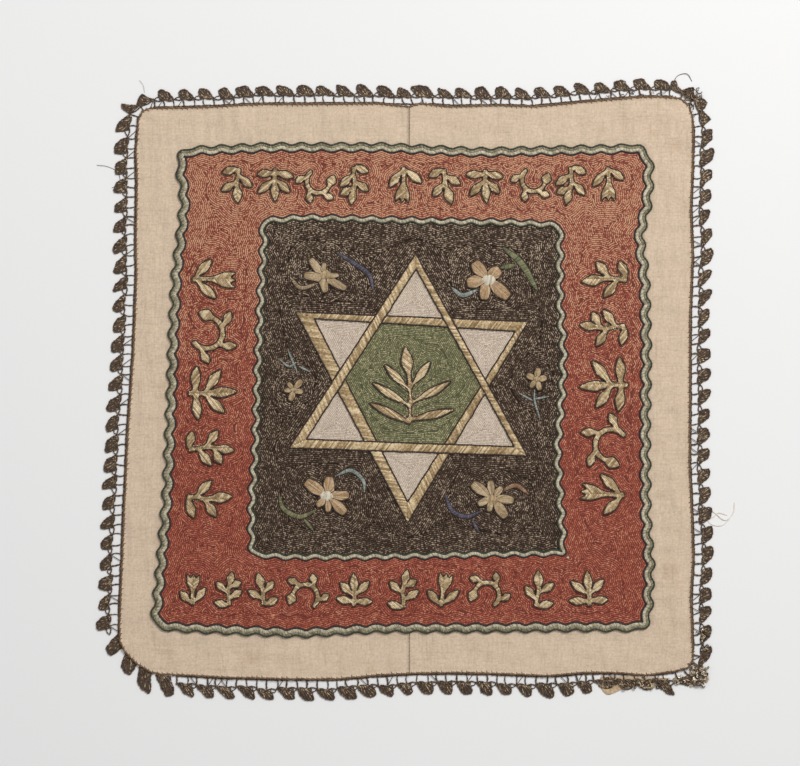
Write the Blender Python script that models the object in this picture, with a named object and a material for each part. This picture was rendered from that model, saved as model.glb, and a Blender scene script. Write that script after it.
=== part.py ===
"""A square embroidered ceremonial cover cloth with a crocheted metal-thread edging, lying flat.

Run with: blender --background --python part.py
Lengths below are in millimetres. X runs to the right across the cloth, Y up it and Z out of the surface
that it lies on. The origin is under the middle of the cloth, on that surface.
"""

import math
import random

import bmesh
import bpy
from mathutils import Matrix, Vector

MM = 0.001
GAP = 0.3  # between neighbouring pieces

# Heights of the layers above the surface: (underside, top).
GROUND_Z = (0.0, 1.2)
EDGING_Z = (0.0, 1.4)
LINING_Z = (0.0, 0.5)
FIELD_Z = (GROUND_Z[1] + GAP, 2.3)
BORDER_Z = (GROUND_Z[1] + GAP, 2.9)
STAR_Z = (GROUND_Z[1] + GAP, 2.8)
RAISED_Z = (FIELD_Z[1] + GAP, 3.3)

# The ground cloth: two widths joined by a seam near the middle. Its outline runs anticlockwise from the
# top of the seam, with three square corners and one cut round.
SEAM_X = 2.0
SEAM_TOP, SEAM_BOTTOM = 226.0, -227.5
GROUND_LEFT = [
    (-24, 228.5), (-70, 228), (-118, 228), (-165, 225.5), (-206, 224.5), (-212, 222), (-215, 215),
    (-217, 190), (-216, 165), (-217, 120), (-216.5, 90), (-219, 28), (-223, -28), (-226, -90),
    (-228.5, -150), (-230, -188), (-230, -201), (-226, -210), (-217, -219), (-206, -226), (-198, -228),
    (-177, -229), (-140, -231), (-91, -232), (-54, -232), (-23, -229),
]
GROUND_RIGHT = [
    (41, -227), (80, -228), (113, -229.5), (141, -227), (166, -227), (191, -229), (214, -226),
    (225, -223), (229, -216), (228, -190), (227, -168), (229, -137), (228, -103), (226, -58),
    (226.5, -3), (226.5, 58), (228.5, 106), (227, 142), (229, 190), (228.5, 218), (225, 227),
    (218, 233), (200, 234), (184, 233.5), (137, 229.5), (102, 226), (74, 227), (34, 226), (10, 228.5),
]
# The lining, which shows only where its corner has slipped out under the edging.
LINING_OUTLINE = [
    (155, -230), (153.5, -236), (157, -242), (160.5, -245), (165, -243.5), (175, -238.5), (205, -236),
    (211, -230.5), (191, -231), (166, -229), (158, -229),
]

# The embroidered field inside its two wavy borders. The routes run anticlockwise from the top left
# corner, down the middle of each border.
OUTER_ROUTE = [
    (-172, 190), (-179, 187), (-181, 180), (-177, 150), (-184, 90), (-186, 50), (-188, -9), (-191, -81),
    (-196, -140), (-200, -180), (-199, -188), (-190, -190), (-150, -192), (-85, -195), (-20, -191),
    (57, -191), (130, -190), (186, -190), (191, -187), (192, -178), (193.5, -140), (190.5, -100),
    (190, -30), (191, 30), (189.5, 90), (185, 122), (192, 150), (193, 180), (190, 190), (182, 193),
    (170, 191.5), (142, 191), (57, 189), (-20, 193), (-112, 193),
]
INNER_ROUTE = [
    (-115, 134), (-114, 119), (-117, 70), (-119, 19), (-121, -50), (-124, -90), (-124, -132), (-94, -134),
    (-37, -134), (19, -133), (61, -132), (125, -131), (122, -81), (120, -49), (124, 0), (125, 31),
    (122, 71), (122, 131), (86, 133), (24, 134), (-46, 136), (-83, 137),
]
OUTER_BORDER_WIDTH, INNER_BORDER_WIDTH = 6.2, 4.4
WAVE_LENGTH = 16.0
WAVE_BESIDE, WAVE_ABOVE = 2.2, 1.4  # wave height at the sides, and along the top and bottom

# The hexagram: two laced triangles of padded gold bands, each given by its outer and inner corners.
UP_OUTER = [(6.8, 108.0), (-93.9, -47.0), (96.1, -53.4)]
UP_INNER = [(7.3, 95.9), (-80.4, -40.1), (85.9, -46.2)]
DOWN_OUTER = [(0.5, -106.9), (96.6, 53.8), (-88.8, 61.4)]
DOWN_INNER = [(0.5, -90.3), (86.7, 46.1), (-74.3, 56.3)]

# Each flower: its centre, its petals' width, and each petal's (direction in degrees, length).
FLOWERS = {
    "top_left": ((-67.7, 89.6), 9.5, [(6, 14), (81, 12), (122, 18), (175, 15), (282, 13), (334, 22)]),
    "top_right": ((63.2, 88.0), 10.5, [(35, 14), (125, 17), (193, 16), (265, 17), (321, 24)]),
    "bottom_left": ((-62.6, -86.5), 10.0, [(8, 17), (88, 17), (145, 23), (215, 12), (268, 12), (317, 19)]),
    "bottom_right": ((68.0, -86.5), 9.0, [(352, 18), (45, 12), (96, 14), (145, 20), (207, 13), (257, 12),
                                          (305, 20)]),
    "left": ((-90.6, -1.0), 5.5, [(350, 8), (52, 11), (126, 8), (180, 8), (253, 9)]),
    "right": ((103.3, 7.4), 5.5, [(12, 9), (79, 10), (151, 9), (232, 8), (291, 9)]),
}

# Leafy motifs worked in gold: each kind's stem (length, turn in degrees), its leaves (share of the way
# up the stem, side, length, angle off the stem), and its tip (length, width).
KINDS = {
    "sprig": ((15, 24), [(0.1, -1, 11.5, 62), (0.42, 1, 12.5, 58), (0.8, -1, 11.5, 58)], (13, 8)),
    "bud": ((12, -10), [(0.25, 1, 14, 50), (0.32, -1, 15, 48)], (15, 11)),
    "scroll": ((42, 215), [(0.2, -1, 10, 55), (0.5, -1, 11, 55), (0.8, -1, 10, 55)], (11, 9)),
    "fern": ((20, -28), [(0.06, 1, 11, 66), (0.36, -1, 12.5, 62), (0.66, 1, 12, 60), (0.9, -1, 10, 60)],
             (11, 7)),
    "fan": ((12, 8), [(0.3, 1, 13, 88), (0.34, -1, 13, 88), (0.84, 1, 14, 53), (0.86, -1, 14, 53)],
            (15, 7.2)),
    "spray": ((40, 16), [(0.06, 1, 33, 72), (0.1, -1, 34, 70), (0.38, 1, 35, 60), (0.44, -1, 34, 60),
                         (0.72, 1, 26, 48), (0.78, -1, 25, 48)], (22, 10)),
}
STEM_WIDTH, LEAF_WIDTH = 4.2, 7.6
TULIP = [(0.55, 0.5), (1.0, 0.46), (0.78, 0.2)]  # half a tulip's edge: (share of length, share of width)

# Each motif: (kind, centre, direction that it grows in, size).
MOTIFS = {
    "top": [
        ("sprig", (-136, 163), -98, 1.0), ("fan", (-105, 163), -92, 1.0), ("scroll", (-73, 162), -40, 0.85),
        ("fern", (-42, 163), -88, 1.0), ("bud", (-1, 163), -90, 1.05), ("sprig", (30, 162), -84, 1.05),
        ("fan", (62, 162), -90, 1.0), ("scroll", (99, 163), -38, 0.85), ("fern", (131, 163), -92, 1.0),
        ("bud", (161, 164), -86, 1.0),
    ],
    "bottom": [
        ("bud", (-171, -160), 92, 0.9), ("fern", (-143, -160), 90, 0.9), ("sprig", (-115, -160), 94, 0.95),
        ("scroll", (-79, -161), 145, 0.9), ("fan", (-42, -160), 88, 1.0), ("fern", (-3, -160), 90, 1.0),
        ("bud", (29, -160), 84, 1.0), ("scroll", (66, -160), 140, 0.9), ("sprig", (106, -160), 80, 1.05),
        ("fan", (145, -159), 92, 1.05),
    ],
    "left": [
        ("bud", (-154, 88), 2, 1.3), ("scroll", (-154, 42), 50, 1.15), ("fan", (-155, -3), 0, 1.45),
        ("fern", (-157, -47), 4, 1.2), ("sprig", (-158, -88), -6, 1.3),
    ],
    "right": [
        ("sprig", (158, 88), 176, 1.3), ("fern", (157, 49), 184, 1.2), ("fan", (157, 4), 180, 1.45),
        ("scroll", (157, -41), 230, 1.15), ("bud", (156, -84), 178, 1.3),
    ],
    "centre": [("spray", (4, 3), 90, 1.0)],
}

# The edging: one long strip of openwork and leaning shells, from the top right corner round to it again.
EDGING_START = (225, 227)
SHELL_PITCH = 16.0
STATION = 2.0  # spacing of the places that the shells are measured from
SHELL = [(0.0, 0.5), (0.42, 0.92), (0.82, 1.0)]  # (share of the pitch, share of the depth)
DEPTH_TOP, DEPTH_LEFT, DEPTH_BOTTOM, DEPTH_RIGHT = 13.5, 17.0, 16.0, 15.0
# Where the strip is drawn in or bunched up: (place, reach, depth there).
PINCHES = [((-222, -216), 20, 10.5), ((180, -229), 34, 11.5), ((206, -226), 9, 17.5)]

LINEN = (0.79, 0.70, 0.60)
LINING = (0.83, 0.77, 0.67)
METAL_THREAD = (0.27, 0.22, 0.17)
RED = (0.61, 0.33, 0.26)
DARK = (0.31, 0.26, 0.22)
IVORY = (0.74, 0.68, 0.61)
GREEN = (0.44, 0.45, 0.31)
GOLD = (0.68, 0.58, 0.44)
TAN = (0.68, 0.52, 0.36)
ORANGE_TAN = (0.70, 0.48, 0.32)
BORDER_GREEN = (0.50, 0.52, 0.42)


def start_empty():
    for obj in list(bpy.data.objects):
        bpy.data.objects.remove(obj, do_unlink=True)
    for group in list(bpy.data.collections):
        bpy.data.collections.remove(group)


def make_collection(name):
    group = bpy.data.collections.new(name)
    bpy.context.scene.collection.children.link(group)
    return group


def make_material(name, colour, roughness, metallic=0.0):
    """A plain material in an everyday (sRGB) colour."""
    linear = [((c + 0.055) / 1.055) ** 2.4 for c in colour]
    material = bpy.data.materials.new(name)
    material.use_nodes = True
    shader = material.node_tree.nodes["Principled BSDF"]
    shader.inputs["Base Color"].default_value = (*linear, 1.0)
    shader.inputs["Roughness"].default_value = roughness
    shader.inputs["Metallic"].default_value = metallic
    return material


# ---- plane geometry ----

def vectors(points):
    return [Vector(point) for point in points]


def polar(degrees, length=1.0):
    angle = math.radians(degrees)
    return Vector((math.cos(angle), math.sin(angle))) * length


def left_of(direction):
    return Vector((-direction.y, direction.x))


def crossing(line_a, line_b):
    """Where two lines meet, each given by two points."""
    (p, q), (r, s) = line_a, line_b
    along, other = q - p, s - r
    share = (r - p).cross(other) / along.cross(other)
    return p + along * share


def shifted(line, distance):
    """A line moved to its left by a distance."""
    step = left_of((line[1] - line[0]).normalized()) * distance
    return (line[0] + step, line[1] + step)


def sides(corners):
    return [(corners[i], corners[(i + 1) % len(corners)]) for i in range(len(corners))]


def offset(corners, distance):
    """An anticlockwise outline moved outward, or inward by a negative distance."""
    moved = []
    for i, corner in enumerate(corners):
        before = -left_of((corner - corners[i - 1]).normalized())
        after = -left_of((corners[(i + 1) % len(corners)] - corner).normalized())
        mitre = (before + after).normalized()
        moved.append(corner + mitre * (distance / mitre.dot(after)))
    return moved


def clipped(corners, line):
    """The part of a convex outline that is on the left of a line."""
    across = left_of(line[1] - line[0])
    heights = [(corner - line[0]).dot(across) for corner in corners]
    kept = []
    for i, corner in enumerate(corners):
        after = (i + 1) % len(corners)
        if heights[i] >= 0:
            kept.append(corner)
        if (heights[i] > 0) != (heights[after] > 0) and heights[i] != heights[after]:
            share = heights[i] / (heights[i] - heights[after])
            kept.append(corner.lerp(corners[after], share))
    return kept


def walked(route, spacing, even=False):
    """Points spaced evenly along a closed route, each with its outward normal."""
    legs = sides(route)
    total = sum((b - a).length for a, b in legs)
    count = round(total / spacing)
    if even:
        count += count % 2

    def at(distance):
        distance %= total
        for a, b in legs:
            length = (b - a).length
            if distance <= length:
                return a.lerp(b, distance / length)
            distance -= length
        return legs[0][0]

    points = []
    for i in range(count):
        distance = total * i / count
        ahead = (at(distance + spacing / 2) - at(distance - spacing / 2)).normalized()
        points.append((at(distance), -left_of(ahead)))
    return points


# ---- solids ----

def outline_solid(name, loops, heights, material, group):
    """A flat piece with one outer outline and any holes, between two heights."""
    bottom, top = heights
    curve = bpy.data.curves.new(name, "CURVE")
    curve.dimensions = "2D"
    curve.fill_mode = "BOTH"
    curve.extrude = (top - bottom) / 2 * MM
    for loop in loops:
        spline = curve.splines.new("POLY")
        spline.points.add(len(loop) - 1)
        for place, corner in zip(spline.points, loop):
            place.co = (corner.x * MM, corner.y * MM, 0.0, 1.0)
        spline.use_cyclic_u = True
    curve.materials.append(material)
    obj = bpy.data.objects.new(name, curve)
    obj.location.z = (top + bottom) / 2 * MM
    group.objects.link(obj)
    return obj


def as_mesh(obj, group):
    """The same piece as a closed mesh, which a Boolean can take."""
    bpy.context.view_layer.update()
    mesh = bpy.data.meshes.new_from_object(obj.evaluated_get(bpy.context.evaluated_depsgraph_get()))
    shell = bmesh.new()
    shell.from_mesh(mesh)
    bmesh.ops.remove_doubles(shell, verts=shell.verts, dist=0.01 * MM)
    shell.to_mesh(mesh)
    shell.free()
    name, place = obj.name, obj.matrix_world.copy()
    bpy.data.objects.remove(obj)
    solid = bpy.data.objects.new(name, mesh)
    solid.matrix_world = place
    group.objects.link(solid)
    return solid


# ---- the cloth and its edging ----

def whole_ground():
    return (vectors(GROUND_LEFT) + [Vector((SEAM_X, SEAM_BOTTOM))] + vectors(GROUND_RIGHT)
            + [Vector((SEAM_X, SEAM_TOP))])


def make_ground(group):
    linen = make_material("linen", LINEN, 0.9)
    near, far = SEAM_X - GAP / 2, SEAM_X + GAP / 2
    left = [Vector((near, SEAM_TOP))] + vectors(GROUND_LEFT) + [Vector((near, SEAM_BOTTOM))]
    right = [Vector((far, SEAM_BOTTOM))] + vectors(GROUND_RIGHT) + [Vector((far, SEAM_TOP))]
    outline_solid("ground_left", [left], GROUND_Z, linen, group)
    outline_solid("ground_right", [right], GROUND_Z, linen, group)


def edging_depth(place, outward):
    above = DEPTH_TOP if outward.y > 0 else DEPTH_BOTTOM
    beside = DEPTH_RIGHT if outward.x > 0 else DEPTH_LEFT
    depth = above * outward.y ** 2 + beside * outward.x ** 2
    for centre, reach, pinched in PINCHES:
        away = (place - Vector(centre)).length / reach
        if away < 1:
            depth += (pinched - depth) * (1 - away ** 4)
    return depth


def scalloped(stations):
    """The outer edge of the edging along its stations: one leaning shell after another."""
    shells = round(len(stations) * STATION / SHELL_PITCH)
    uneven = random.Random(3)
    outer = []
    for shell in range(shells):
        for share, reach in SHELL:
            place, outward = stations[round((shell + share) * (len(stations) - 1) / shells)]
            depth = edging_depth(place, outward) * uneven.uniform(0.95, 1.05)
            outer.append(place + outward * (depth * reach))
    return outer


def make_lining(group):
    lining = make_material("lining", LINING, 0.9)
    return outline_solid("lining_corner", [vectors(LINING_OUTLINE)], LINING_Z, lining, group)


def make_edging(group, cutters):
    """One strip round the ground, scalloped outside, that passes over the corner of the lining."""
    metal = make_material("metal_thread", METAL_THREAD, 0.55, 0.3)
    ground = whole_ground()
    first = ground.index(Vector(EDGING_START))
    ground = ground[first:] + ground[:first]
    inner = offset(ground, GAP)
    inner.append(inner[-1].lerp(inner[0], 0.8))
    outer = scalloped(walked(ground, STATION))
    strip = as_mesh(outline_solid("edging", [outer + inner[::-1]], EDGING_Z, metal, group), group)
    hollow = (LINING_Z[0] - 1.0, LINING_Z[1] + GAP)
    over = outline_solid("lining_cutter", [offset(vectors(LINING_OUTLINE), GAP)], hollow, metal, cutters)
    over = as_mesh(over, cutters)
    over.hide_render = True
    over.display_type = "WIRE"
    cut = strip.modifiers.new("over_lining", "BOOLEAN")
    cut.operation = "DIFFERENCE"
    cut.object = over


# ---- the embroidered field ----

def wavy(route):
    """A closed route with one crest and one trough a wave."""
    line = []
    for i, (place, outward) in enumerate(walked(vectors(route), WAVE_LENGTH / 2, even=True)):
        height = WAVE_BESIDE * outward.x ** 2 + WAVE_ABOVE * outward.y ** 2
        side = 1 if i % 2 else -1
        line.append(place + outward * (height * side))
    return line


def make_borders_and_fields(group):
    green = make_material("border_silk", BORDER_GREEN, 0.6)
    outer, inner = wavy(OUTER_ROUTE), wavy(INNER_ROUTE)
    outer_half, inner_half = OUTER_BORDER_WIDTH / 2, INNER_BORDER_WIDTH / 2
    rim = [offset(outer, outer_half), offset(outer, -outer_half)]
    outline_solid("border_outer", rim, BORDER_Z, green, group)
    rim = [offset(inner, inner_half), offset(inner, -inner_half)]
    outline_solid("border_inner", rim, BORDER_Z, green, group)
    red = make_material("red_chain_stitch", RED, 0.75)
    band = [offset(outer, -outer_half - GAP), offset(inner, inner_half + GAP)]
    outline_solid("field_red", band, FIELD_Z, red, group)
    dark = make_material("dark_chain_stitch", DARK, 0.75)
    centre = [offset(inner, -inner_half - GAP), star_outline(GAP)]
    outline_solid("field_dark", centre, FIELD_Z, dark, group)


# ---- the hexagram ----

def star_outline(margin):
    """The twelve-cornered outline of the hexagram, moved outward by a margin."""
    up, down = offset(vectors(UP_OUTER), margin), offset(vectors(DOWN_OUTER), margin)
    outline = []
    for i in range(3):
        # From each upward tip anticlockwise: over one side of the other triangle to its tip, and back.
        outline.append(up[i])
        outline.append(crossing(sides(up)[i], sides(down)[(i + 1) % 3]))
        outline.append(down[(i + 2) % 3])
        outline.append(crossing(sides(up)[i], sides(down)[(i + 2) % 3]))
    return outline


def make_star(group):
    gold = make_material("gold_padded_band", GOLD, 0.5, 0.2)
    up_outer, up_inner = vectors(UP_OUTER), vectors(UP_INNER)
    down_outer, down_inner = vectors(DOWN_OUTER), vectors(DOWN_INNER)
    outline_solid("star_up", [up_outer, up_inner], STAR_Z, gold, group)
    # Each side of the upward triangle passes over one corner of the downward one.
    for name, side, corner in (("left", 0, 2), ("bottom", 1, 0), ("right", 2, 1)):
        edge = shifted(sides(up_outer)[side], -GAP)
        into, out = sides(down_outer)[corner - 1], sides(down_outer)[corner]
        into_within, out_within = sides(down_inner)[corner - 1], sides(down_inner)[corner]
        bend = [
            crossing(into, edge), down_outer[corner], crossing(out, edge),
            crossing(out_within, edge), down_inner[corner], crossing(into_within, edge),
        ]
        outline_solid(f"star_down_{name}", [bend], STAR_Z, gold, group)
    window = offset(up_inner, -GAP)
    for name, side in (("right", 0), ("top", 1), ("left", 2)):
        outside, within = sides(down_outer)[side], sides(down_inner)[side]
        span = clipped(clipped(window, outside), within[::-1])
        outline_solid(f"star_span_{name}", [span], STAR_Z, gold, group)


def make_star_fillings(group):
    """Six ivory triangles in the tips of the hexagram, and the green hexagon in its middle."""
    ivory = make_material("ivory_chain_stitch", IVORY, 0.7)
    green = make_material("green_chain_stitch", GREEN, 0.75)
    up_window, down_window = offset(vectors(UP_INNER), -GAP), offset(vectors(DOWN_INNER), -GAP)
    for name, side in (("top", 1), ("lower_left", 2), ("lower_right", 0)):
        beyond = shifted(sides(vectors(DOWN_OUTER))[side], -GAP)[::-1]
        outline_solid(f"ivory_{name}", [clipped(up_window, beyond)], FIELD_Z, ivory, group)
    for name, side in (("upper_left", 0), ("bottom", 1), ("upper_right", 2)):
        beyond = shifted(sides(vectors(UP_OUTER))[side], -GAP)[::-1]
        outline_solid(f"ivory_{name}", [clipped(down_window, beyond)], FIELD_Z, ivory, group)
    hexagon = up_window
    for side in sides(down_window):
        hexagon = clipped(hexagon, side)
    outline_solid("hexagon_green", [hexagon], FIELD_Z, green, group)


# ---- flowers and leafy motifs ----

def flower_outline(centre, width, petals):
    """Round-ended petals, each no wider than the room between its neighbours."""
    turns = [(petals[(i + 1) % len(petals)][0] - petals[i][0]) % 360 for i in range(len(petals))]
    outline = []
    for i, (direction, length) in enumerate(petals):
        ahead = polar(direction)
        across = left_of(ahead)
        room = length * math.tan(math.radians(min(turns[i - 1], turns[i], 120) / 2))
        for reach, spread in ((0.58, -0.5), (0.96, -0.3), (0.96, 0.3), (0.58, 0.5)):
            outline.append(ahead * (length * reach) + across * (min(width, room) * spread))
        shorter = min(length, petals[(i + 1) % len(petals)][1])
        outline.append(polar(direction + turns[i] / 2, shorter * 0.42))
    return [Vector(centre) + point for point in outline]


def make_flowers(group):
    tan = make_material("tan_satin_stitch", TAN, 0.6)
    orange = make_material("orange_satin_stitch", ORANGE_TAN, 0.6)
    gold = make_material("gold_satin_stitch", GOLD, 0.5, 0.2)
    colours = {"top_right": orange, "bottom_left": orange, "left": gold, "right": gold}
    for name, (centre, width, petals) in FLOWERS.items():
        outline = flower_outline(centre, width, petals)
        outline_solid(f"flower_{name}", [outline], RAISED_Z, colours.get(name, tan), group)


class Stem:
    """A curved stem of even bend that starts at the origin and grows up the page."""

    def __init__(self, length, turn):
        self.length, self.turn = length, turn

    def heading(self, share):
        return polar(90 + self.turn * (share - 0.5))

    def place(self, share):
        radius = self.length / math.radians(self.turn)
        return left_of(self.heading(0) - self.heading(share)) * radius


def leaf(stem, share, side, length, angle, size):
    """A leaf's edge from its back to its front, on the left (1) or the right (-1) of the stem."""
    heading = stem.heading(share)
    ahead = Matrix.Rotation(math.radians(angle * side), 2) @ heading
    forward = -left_of(ahead) * side
    base = stem.place(share) + left_of(heading) * (side * STEM_WIDTH * size / 2)
    root = LEAF_WIDTH * size * 0.25
    half = LEAF_WIDTH * size / 2
    return [
        base - heading * root,
        base + ahead * (length * 0.55) - forward * half * 0.8,
        base + ahead * length + forward * half * 0.3,
        base + ahead * (length * 0.5) + forward * half,
        base + heading * root,
    ]


def motif_outline(kind, size, wobble):
    """A motif's outline, anticlockwise: up the right side of its stem, round the tip and down the left."""
    (length, turn), leaves, (tip_length, tip_width) = KINDS[kind]
    thick = math.sqrt(size)
    stem = Stem(length * size, turn)
    half = STEM_WIDTH * thick / 2
    bends = [share / 8 for share in range(1, 8)] if abs(turn) > 90 else []

    def one_side(side):
        rows = []
        for share, leaf_side, leaf_length, angle in leaves:
            if leaf_side == side:
                longer = leaf_length * size * wobble.uniform(0.93, 1.07)
                rows.append((share, leaf(stem, share, side, longer, angle + wobble.uniform(-5, 5), thick)))
        for share in bends:
            if all(abs(share - taken[0]) > 0.07 for taken in rows):
                rows.append((share, [stem.place(share) + left_of(stem.heading(share)) * (side * half)]))
        rows.sort(key=lambda row: row[0])
        foot = stem.place(0) + left_of(stem.heading(0)) * (side * half * 0.7)
        return [foot] + [point for row in rows for point in row[1]]

    ahead, end = stem.heading(1), stem.place(1)
    across = left_of(ahead)
    edge = TULIP if kind == "bud" else [(0.4, 0.5), (0.75, 0.32)]
    tip_length, tip_width = tip_length * size, tip_width * thick
    right = [end + ahead * (tip_length * a) - across * (tip_width * b) for a, b in edge]
    left = [end + ahead * (tip_length * a) + across * (tip_width * b) for a, b in reversed(edge)]
    neck = [end - across * half * 0.9], [end + across * half * 0.9]
    point = end + ahead * tip_length
    return one_side(-1) + neck[0] + right + [point] + left + neck[1] + one_side(1)[::-1]


def make_motifs(group):
    gold = make_material("gold_motif", GOLD, 0.5, 0.2)
    wobble = random.Random(5)
    for place, motifs in MOTIFS.items():
        for number, (kind, centre, direction, size) in enumerate(motifs, 1):
            turned = Matrix.Rotation(math.radians(direction - 90), 2)
            outline = [turned @ point for point in motif_outline(kind, size, wobble)]
            low = Vector((min(p.x for p in outline), min(p.y for p in outline)))
            high = Vector((max(p.x for p in outline), max(p.y for p in outline)))
            outline = [point - (low + high) / 2 + Vector(centre) for point in outline]
            outline_solid(f"motif_{place}_{number}", [outline], RAISED_Z, gold, group)


def centre_on_origin(group):
    """Move every piece so that the middle of the whole is over the origin, and its underside at Z = 0."""
    bpy.context.view_layer.update()
    corners = [obj.matrix_world @ Vector(corner) for obj in group.objects for corner in obj.bound_box]
    low = Vector([min(corner[axis] for corner in corners) for axis in range(3)])
    high = Vector([max(corner[axis] for corner in corners) for axis in range(3)])
    middle = Vector(((low.x + high.x) / 2, (low.y + high.y) / 2, low.z))
    for obj in list(group.objects):
        obj.location -= middle
    return middle


def main():
    start_empty()
    group = make_collection("ceremonial_cover_cloth")
    cutters = make_collection("cutters")
    make_ground(group)
    make_lining(group)
    make_edging(group, cutters)
    make_borders_and_fields(group)
    make_star(group)
    make_star_fillings(group)
    make_flowers(group)
    make_motifs(group)
    middle = centre_on_origin(group)
    for cutter in cutters.objects:
        cutter.location -= middle


main()
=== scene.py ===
"""Looks for the embroidered ceremonial cover cloth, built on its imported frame.

Lengths are in millimetres until a mesh is made. Outlines and places are read from the frame's own pieces, so
that every row of stitches, cord and shell follows the solids.
"""

import math
import random

import bpy
import numpy as np
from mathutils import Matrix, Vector, kdtree, noise


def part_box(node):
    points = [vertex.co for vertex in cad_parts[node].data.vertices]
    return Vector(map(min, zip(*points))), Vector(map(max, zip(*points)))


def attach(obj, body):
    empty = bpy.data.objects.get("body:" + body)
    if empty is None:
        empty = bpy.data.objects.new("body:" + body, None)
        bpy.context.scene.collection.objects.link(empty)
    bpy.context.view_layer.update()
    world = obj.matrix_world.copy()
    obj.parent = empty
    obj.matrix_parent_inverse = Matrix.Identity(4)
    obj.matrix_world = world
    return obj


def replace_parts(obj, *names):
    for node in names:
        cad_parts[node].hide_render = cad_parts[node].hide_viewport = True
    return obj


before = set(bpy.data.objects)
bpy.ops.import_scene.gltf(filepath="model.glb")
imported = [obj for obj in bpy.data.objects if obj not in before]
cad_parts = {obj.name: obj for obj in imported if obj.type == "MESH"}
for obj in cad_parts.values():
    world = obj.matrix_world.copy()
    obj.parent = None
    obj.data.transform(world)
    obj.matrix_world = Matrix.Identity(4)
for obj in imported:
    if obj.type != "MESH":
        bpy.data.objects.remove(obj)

for name in ("Cube", "Light", "Camera"):
    if name in bpy.data.objects:
        bpy.data.objects.remove(bpy.data.objects[name])

MM = 0.001
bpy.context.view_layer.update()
uneven = random.Random(11)
noise.seed_set(11)  # left alone, it starts from the clock


# ---- reading the frame ----

def middle(node):
    low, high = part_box(node)
    return np.array([low.x + high.x, low.y + high.y]) / 2 / MM


def outlines(node):
    """A node's outlines seen from above: the outer one anticlockwise, then its holes clockwise."""
    mesh = bpy.data.objects[node].data
    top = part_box(node)[1].z / MM
    edges = set()
    for face in mesh.polygons:
        corners = [mesh.vertices[i].co / MM for i in face.vertices]
        if min(corner.z for corner in corners) > top - 0.05:
            keys = [(round(corner.x, 2), round(corner.y, 2)) for corner in corners]
            edges.update(zip(keys, keys[1:] + keys[:1]))
    after = dict(sorted((start, end) for start, end in edges if (end, start) not in edges))
    loops = []
    while after:
        start = next(iter(after))
        loop, here = [start], after.pop(start)
        while here != start:
            loop.append(here)
            here = after.pop(here)
        loops.append(np.array(loop))
    return sorted(loops, key=enclosed, reverse=True)


def enclosed(loop):
    """The area inside a loop, negative where it runs clockwise."""
    x, y = loop[:, 0], loop[:, 1]
    return 0.5 * float(np.sum(x * np.roll(y, -1) - y * np.roll(x, -1)))


def named(*starts):
    """The frame's nodes whose names start so, in order."""
    return [node for node in sorted(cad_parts) if node.startswith(starts)]


def dye(node, material):
    """Gives a node's own plate one material."""
    plate = bpy.data.objects[node]
    plate.data.materials.clear()
    plate.data.materials.append(material)


# ---- curves ----

def unit(vectors):
    return vectors / np.maximum(np.linalg.norm(vectors, axis=-1, keepdims=True), 1e-9)


def left_of(vectors):
    return np.stack([-vectors[..., 1], vectors[..., 0]], axis=-1)


def lengths_along(line):
    """How far along a line each of its points lies."""
    return np.concatenate([[0.0], np.cumsum(np.linalg.norm(np.diff(line, axis=0), axis=1))])


def evenly(line, count):
    """A line as exactly this many points."""
    lengths = lengths_along(line)
    places = np.linspace(0, lengths[-1], count)
    return np.stack([np.interp(places, lengths, axis) for axis in line.T], axis=1)


def stepped(points, spacing, closed=False):
    """Points an even distance apart along a line."""
    line = np.vstack([points, points[:1]]) if closed else np.asarray(points, float)
    count = max(2, round(lengths_along(line)[-1] / spacing))
    return evenly(line, count + 1)[: count if closed else count + 1]


def smoothed(points, spacing, closed=False):
    """A smooth line through the given points, as points an even distance apart."""
    points = np.asarray(points, float)
    if closed:
        line = np.vstack([points[-1:], points, points[:2]])
    else:
        line = np.vstack([2 * points[:1] - points[1:2], points, 2 * points[-1:] - points[-2:-1]])
    curve = []
    for before, start, end, after in zip(line, line[1:], line[2:], line[3:]):
        first, second, third = start - before, end - start, after - end
        a, b, c = (max(1e-6, np.linalg.norm(run)) ** 0.5 for run in (first, second, third))
        slope_in = b * (first / a - (end - before) / (a + b) + second / b)
        slope_out = b * (second / b - (after - start) / (b + c) + third / c)
        for share in np.linspace(0, 1, 8, endpoint=False):
            cube, square = share ** 3, share ** 2
            curve.append((2 * cube - 3 * square + 1) * start + (cube - 2 * square + share) * slope_in
                         + (3 * square - 2 * cube) * end + (cube - square) * slope_out)
    if not closed:
        curve.append(points[-1])
    return stepped(np.array(curve), spacing, closed)


def directions(line, closed=False):
    if closed:
        return unit(np.roll(line, -1, axis=0) - np.roll(line, 1, axis=0))
    return unit(np.gradient(line, axis=0))


def swirl(x, y, seed):
    """Smooth noise at a place."""
    return noise.noise(Vector((x, y, seed)))


def wander(line, size, reach, seed=0.0):
    """A line nudged about by smooth noise."""
    moved = np.array(line, float)
    for i, (x, y) in enumerate(line[:, :2]):
        push = noise.noise_vector(Vector((x / reach, y / reach, seed)))
        moved[i, 0] += push.x * size
        moved[i, 1] += push.y * size
    return moved


def tree_of(points):
    """A search tree of places."""
    tree = kdtree.KDTree(len(points))
    for i, (x, y) in enumerate(points):
        tree.insert((x, y, 0), i)
    tree.balance()
    return tree


def nearest_on(line, places):
    """For each place, the nearest point of a line."""
    tree = tree_of(line)
    return np.array([tree.find((x, y, 0))[0][:2] for x, y in places])


def edges_of(loops):
    """Where all the edges of some loops start and end."""
    return np.vstack(loops), np.vstack([np.roll(loop, -1, axis=0) for loop in loops])


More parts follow.
